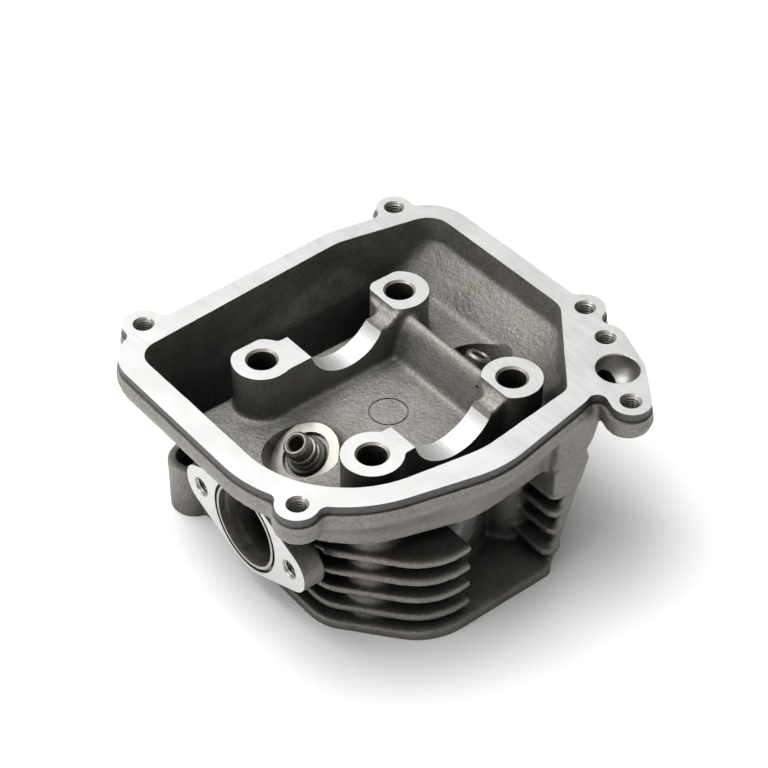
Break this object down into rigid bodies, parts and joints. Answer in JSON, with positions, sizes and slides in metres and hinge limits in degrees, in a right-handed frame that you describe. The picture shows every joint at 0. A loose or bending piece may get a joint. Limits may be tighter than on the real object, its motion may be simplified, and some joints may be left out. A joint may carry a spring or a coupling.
{
  "type": "engine cylinder head",
  "caption": "Bare head of a small air-cooled engine: rocker box with cam saddles on stud towers, cooling fins, intake flange, plug bay and tilted valve guides.",
  "frame": {"origin": "centre of the cylinder bore on the head-gasket face", "axes": "+Z towards the valve cover, +X from the intake port to the exhaust port, +Y from the spark plug to the cam-chain tunnel"},
  "size_m": [0.1378, 0.1348, 0.066],
  "materials": {
    "cast": "sand cast, with milled faces",
    "machined": "milled",
    "guide": "turned",
    "clip": "dark spring steel",
    "seat": "ground"
  },
  "bodies": {
    "root": {"gasket_deck": "cast", "chamber_core": "cast", "plug_boss": "cast", "intake_port": "cast", "exhaust_port": "cast", "fins_intake_plug": "cast", "fins_exhaust_plug": "cast", "fins_intake_chain": "cast", "fins_exhaust_chain": "cast", "chain_tunnel": "cast", "rocker_floor": "cast", "rocker_wall": "cast", "cover_flange": "cast", "air_passage": "cast", "tower_intake_chain": "cast", "tower_exhaust_chain": "cast", "tower_exhaust_plug": "cast", "tower_intake_plug": "cast", "saddle_chain": "machined", "saddle_plug": "machined", "tower_web": "cast", "intake_guide": "guide", "exhaust_guide": "guide", "intake_guide_clip": "clip", "exhaust_guide_clip": "clip", "intake_seat_ring": "seat", "exhaust_seat_ring": "seat"}
  },
  "joints": []
}
